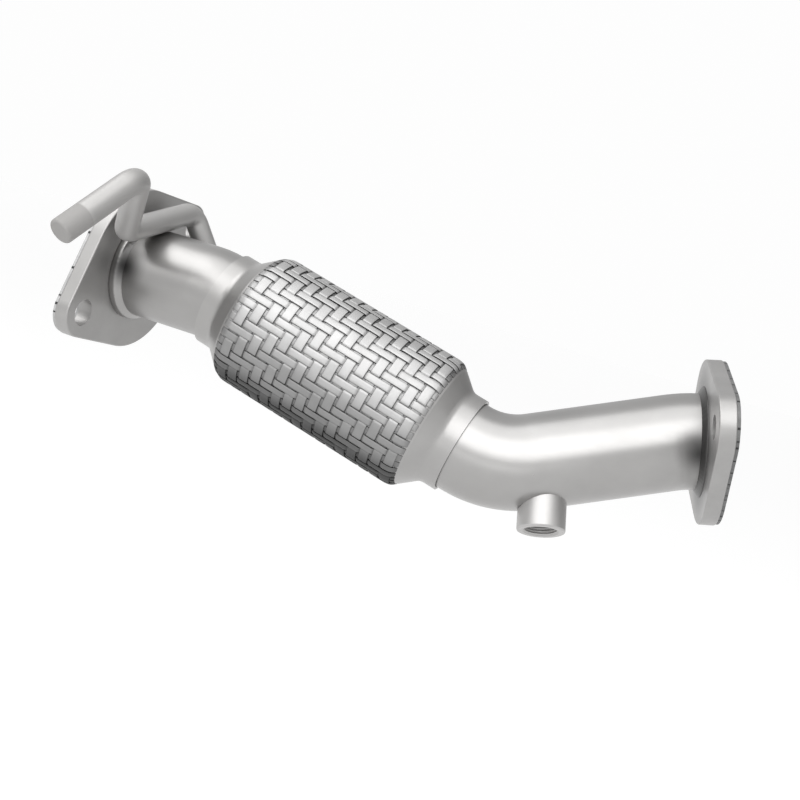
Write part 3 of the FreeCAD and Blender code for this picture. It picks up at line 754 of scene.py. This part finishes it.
bead("inlet_weld_bead", INLET_BACK, (1, 0, 0), [
    (PIPE_RADIUS - 0.1, -0.05), (28.4, -0.05), (28.45, 1.0), (28.5, 2.2), (28.4, 3.3), (28.1, 4.0),
    (27.5, 4.7), (26.7, 5.4), (26.0, 6.0), (25.5, 6.4), (PIPE_RADIUS - 0.1, 6.5)],
    "inlet_end", "inlet_flange_weld", WELD)
bead("outlet_weld_bead", OUTLET_BACK, tuple(-END_DIR), [
    (PIPE_RADIUS - 0.1, -0.05), (29.4, -0.05), (29.1, 0.35), (28.3, 0.9), (27.3, 1.5), (26.4, 2.1),
    (25.7, 2.6), (PIPE_RADIUS - 0.1, 2.8)], "outlet_end", "outlet_flange_weld", SHADED_WELD)


# Camera.
def rotation_from(look, up):
    back = -Vector(look).normalized()
    side = Vector(up).cross(back).normalized()
    top = back.cross(side)
    return Matrix((side, top, back)).transposed()


camera_data = bpy.data.cameras.new("camera")
camera_data.sensor_width = 36.0
camera_data.lens = CAMERA_LENS
camera_data.clip_end = 50.0
camera = bpy.data.objects.new("camera", camera_data)
camera.matrix_world = (
    Matrix.Translation(Vector(CAMERA_PLACE) * MM) @ rotation_from(CAMERA_LOOK, CAMERA_UP).to_4x4())
bpy.context.scene.collection.objects.link(camera)
bpy.context.scene.camera = camera

# Studio: a white surround, four soft lights and a pale floor.
scene = bpy.context.scene
scene.view_settings.view_transform = "Standard"
scene.world = bpy.data.worlds.new("studio")
sky = Nodes(scene.world)
background = sky.tree.nodes["Background"]
background.inputs["Color"].default_value = (1, 1, 1, 1)
path = sky.add("ShaderNodeLightPath")

# Metal sees the same white surround, but for three grey patches: each has a direction, the
# cosine at its rim and its depth.
GREY_PATCHES = (
    ((0.55, 0.83, 0.05), 0.45, 0.5), ((-0.97, -0.07, -0.1), 0.45, 0.5), ((0.1, 0.75, 0.65), 0.5, 0.2))
SEEN_LEVEL = 0.985
MIRRORED_LEVEL = 0.98
AMBIENT_LEVEL = 0.58
spot = sky.add("ShaderNodeTexCoord")
mirrored = MIRRORED_LEVEL
for direction, rim, depth in GREY_PATCHES:
    facing = sky.along(spot.outputs["Generated"], Vector(direction).normalized())
    mirrored = sky.math("SUBTRACT", mirrored, sky.remap(facing, rim, 1.0, 0.0, depth, smooth=True))

glossy = path.outputs["Is Glossy Ray"]
seen = sky.math("MAXIMUM", path.outputs["Is Camera Ray"], path.outputs["Is Transmission Ray"])
ambient = sky.math("SUBTRACT", sky.math("SUBTRACT", 1.0, seen), glossy)
seen_part = sky.math("MULTIPLY", seen, SEEN_LEVEL)
ambient_part = sky.math("MULTIPLY", ambient, AMBIENT_LEVEL)
glossy_part = sky.math("MULTIPLY", glossy, mirrored)
level = sky.math("ADD", sky.math("ADD", seen_part, ambient_part), glossy_part)
sky.join(level, background.inputs["Strength"])


def soft_light(name, place, target, size, radiance):
    """A rectangular light whose face has the given radiance."""
    data = bpy.data.lights.new(name, "AREA")
    data.shape = "RECTANGLE"
    data.size = size[0]
    data.size_y = size[1]
    data.energy = radiance * math.pi * size[0] * size[1]
    lamp = bpy.data.objects.new(name, data)
    turn = (Vector(target) - Vector(place)).to_track_quat("-Z", "Y")
    lamp.matrix_world = Matrix.Translation(Vector(place)) @ turn.to_matrix().to_4x4()
    bpy.context.scene.collection.objects.link(lamp)


soft_light("key_wide", (0.18, -0.8, 1.05), (0.2, 0, -0.02), (2.2, 2.6), 1.12)
soft_light("key_core", (0.3, -1.0, 0.78), (0.2, 0, 0), (1.5, 1.0), 1.0)
soft_light("low_front", (0.45, -1.2, -0.2), (0.25, 0, -0.04), (1.0, 0.35), 0.72)
soft_light("upper_left", (-0.75, -0.4, 1.05), (0.0, 0, 0), (0.9, 0.9), 1.6)

FLOOR_HEIGHT = -0.32
FLOOR_SIZE = 40
FLOOR_GLOW = 0.752
floor_nodes = MaterialNodes("floor_white")
floor_nodes.shader.inputs["Base Color"].default_value = (0.3, 0.3, 0.3, 1)
floor_nodes.shader.inputs["Roughness"].default_value = 0.9
floor_nodes.shader.inputs["Emission Color"].default_value = (1, 1, 1, 1)
floor_nodes.shader.inputs["Emission Strength"].default_value = FLOOR_GLOW
bpy.ops.mesh.primitive_plane_add(size=FLOOR_SIZE, location=(0, 0, FLOOR_HEIGHT))
floor = bpy.context.object
floor.name = "floor"
floor.data.materials.append(floor_nodes.material)
